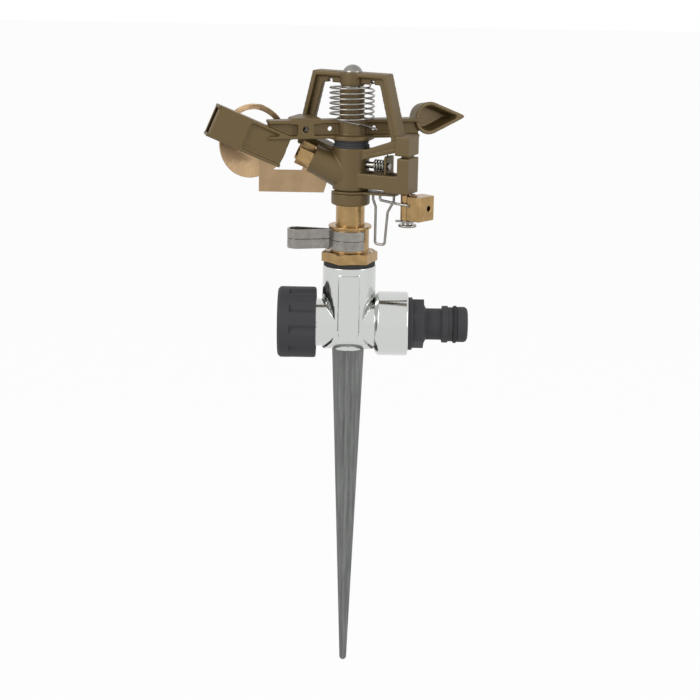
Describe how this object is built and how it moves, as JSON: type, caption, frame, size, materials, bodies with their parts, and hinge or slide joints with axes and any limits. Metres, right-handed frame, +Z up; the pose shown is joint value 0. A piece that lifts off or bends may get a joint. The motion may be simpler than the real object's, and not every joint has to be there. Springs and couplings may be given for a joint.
{
  "type": "impulse sprinkler",
  "caption": "Impulse sprinkler on a metal ground spike: a plated tee with hose inlet and end cap, brass bearing, sprung hammer arm, folded jet deflector and part-circle trip.",
  "frame": {"origin": "on the swivel axis at the root of the ground spike, where the tee's foot stands on it", "axes": "+Z up along the swivel axis, +X towards the hose inlet, -Y towards the viewer's side with the bare pad"},
  "size_m": [0.121, 0.0444, 0.2861],
  "materials": {
    "zinc": "satin gunmetal zinc",
    "chrome_plate": "bright plated",
    "bronze_paint": "semi-gloss olive bronze",
    "brass": "turned brass",
    "spring_steel": "plain bright wire and strip",
    "black_plastic": "black satin",
    "black_rubber": "matt",
    "nylon": "natural nylon"
  },
  "bodies": {
    "base": {"ground_spike": "zinc", "tee_body": "chrome_plate", "hose_nipple": "black_plastic", "nipple_o_ring": "black_rubber", "nipple_washer": "black_rubber", "bearing_washer": "black_rubber", "bearing_nut": "brass", "seal_washer": "black_rubber"},
    "cap_seal": {"end_cap_washer": "black_rubber"},
    "cap": {"end_cap": "black_plastic"},
    "collar_lower": {"friction_collar_lower": "spring_steel"},
    "collar_upper": {"friction_collar_upper": "spring_steel"},
    "head": {"riser_tube": "brass", "thrust_washer": "nylon", "head_body": "bronze_paint", "nozzle": "brass", "fulcrum_pin": "spring_steel", "arm_bush_lower": "black_plastic", "arm_washer_upper": "spring_steel", "arm_spring": "spring_steel", "trip_spring": "spring_steel", "spring_pin": "spring_steel", "trip_pin": "spring_steel", "pin_clip": "spring_steel", "deflector_screw": "brass", "deflector_washer": "spring_steel"},
    "arm": {"impact_arm": "bronze_paint", "arm_bushing": "nylon"},
    "deflector": {"deflector_plate": "brass"},
    "trip_lever": {"trip_lever": "bronze_paint", "trip_wire": "spring_steel"},
    "trip_block": {"trip_block": "brass", "trip_link": "spring_steel"}
  },
  "joints": [
    {"name": "head_turn", "type": "hinge", "parent": "base", "child": "head", "pos_m": [0, 0, 0.055], "axis": [0, 0, 1], "range_deg": [-120, 178]},
    {"name": "collar_lower_turn", "type": "hinge", "parent": "base", "child": "collar_lower", "pos_m": [0, 0, 0.0486], "axis": [0, 0, 1], "range_deg": [-170, 130]},
    {"name": "collar_upper_turn", "type": "hinge", "parent": "base", "child": "collar_upper", "pos_m": [0, 0, 0.0531], "axis": [0, 0, 1], "range_deg": [-170, 130]},
    {"name": "arm_swing", "type": "hinge", "parent": "head", "child": "arm", "pos_m": [0, 0, 0.105], "axis": [0, 0, 1], "range_deg": [0, 100], "stiffness_Nm_per_rad": 0.02, "springref_deg": -34.38, "deforming": ["arm_spring"]},
    {"name": "deflector_tilt", "type": "hinge", "parent": "head", "child": "deflector", "pos_m": [-0.016, 0.0093, 0.085], "axis": [0, 1, 0], "range_deg": [-10, 4]},
    {"name": "trip_lever_swing", "type": "hinge", "parent": "head", "child": "trip_lever", "pos_m": [0, 0, 0.073], "axis": [0, 0, 1], "range_deg": [-6, 6]},
    {"name": "trip_block_swing", "type": "hinge", "parent": "head", "child": "trip_block", "pos_m": [0.02566, -0.01307, 0.068], "axis": [0, 0, 1], "range_deg": [-7.5, 7.5]},
    {"name": "cap_advance", "type": "slide", "parent": "base", "child": "cap_seal", "axis": [1, 0, 0], "range_m": [-0.0127, 0]},
    {"name": "cap_turn", "type": "hinge", "parent": "cap_seal", "child": "cap", "pos_m": [-0.0237, 0, 0.0113], "axis": [1, 0, 0], "range_deg": [-2520, 0]}
  ],
  "couplings": [
    {"joint": "trip_block_swing", "follows": "trip_lever_swing", "ratio": -1.25},
    {"joint": "cap_advance", "follows": "cap_turn", "m_per_rad": 0.00028871}
  ]
}
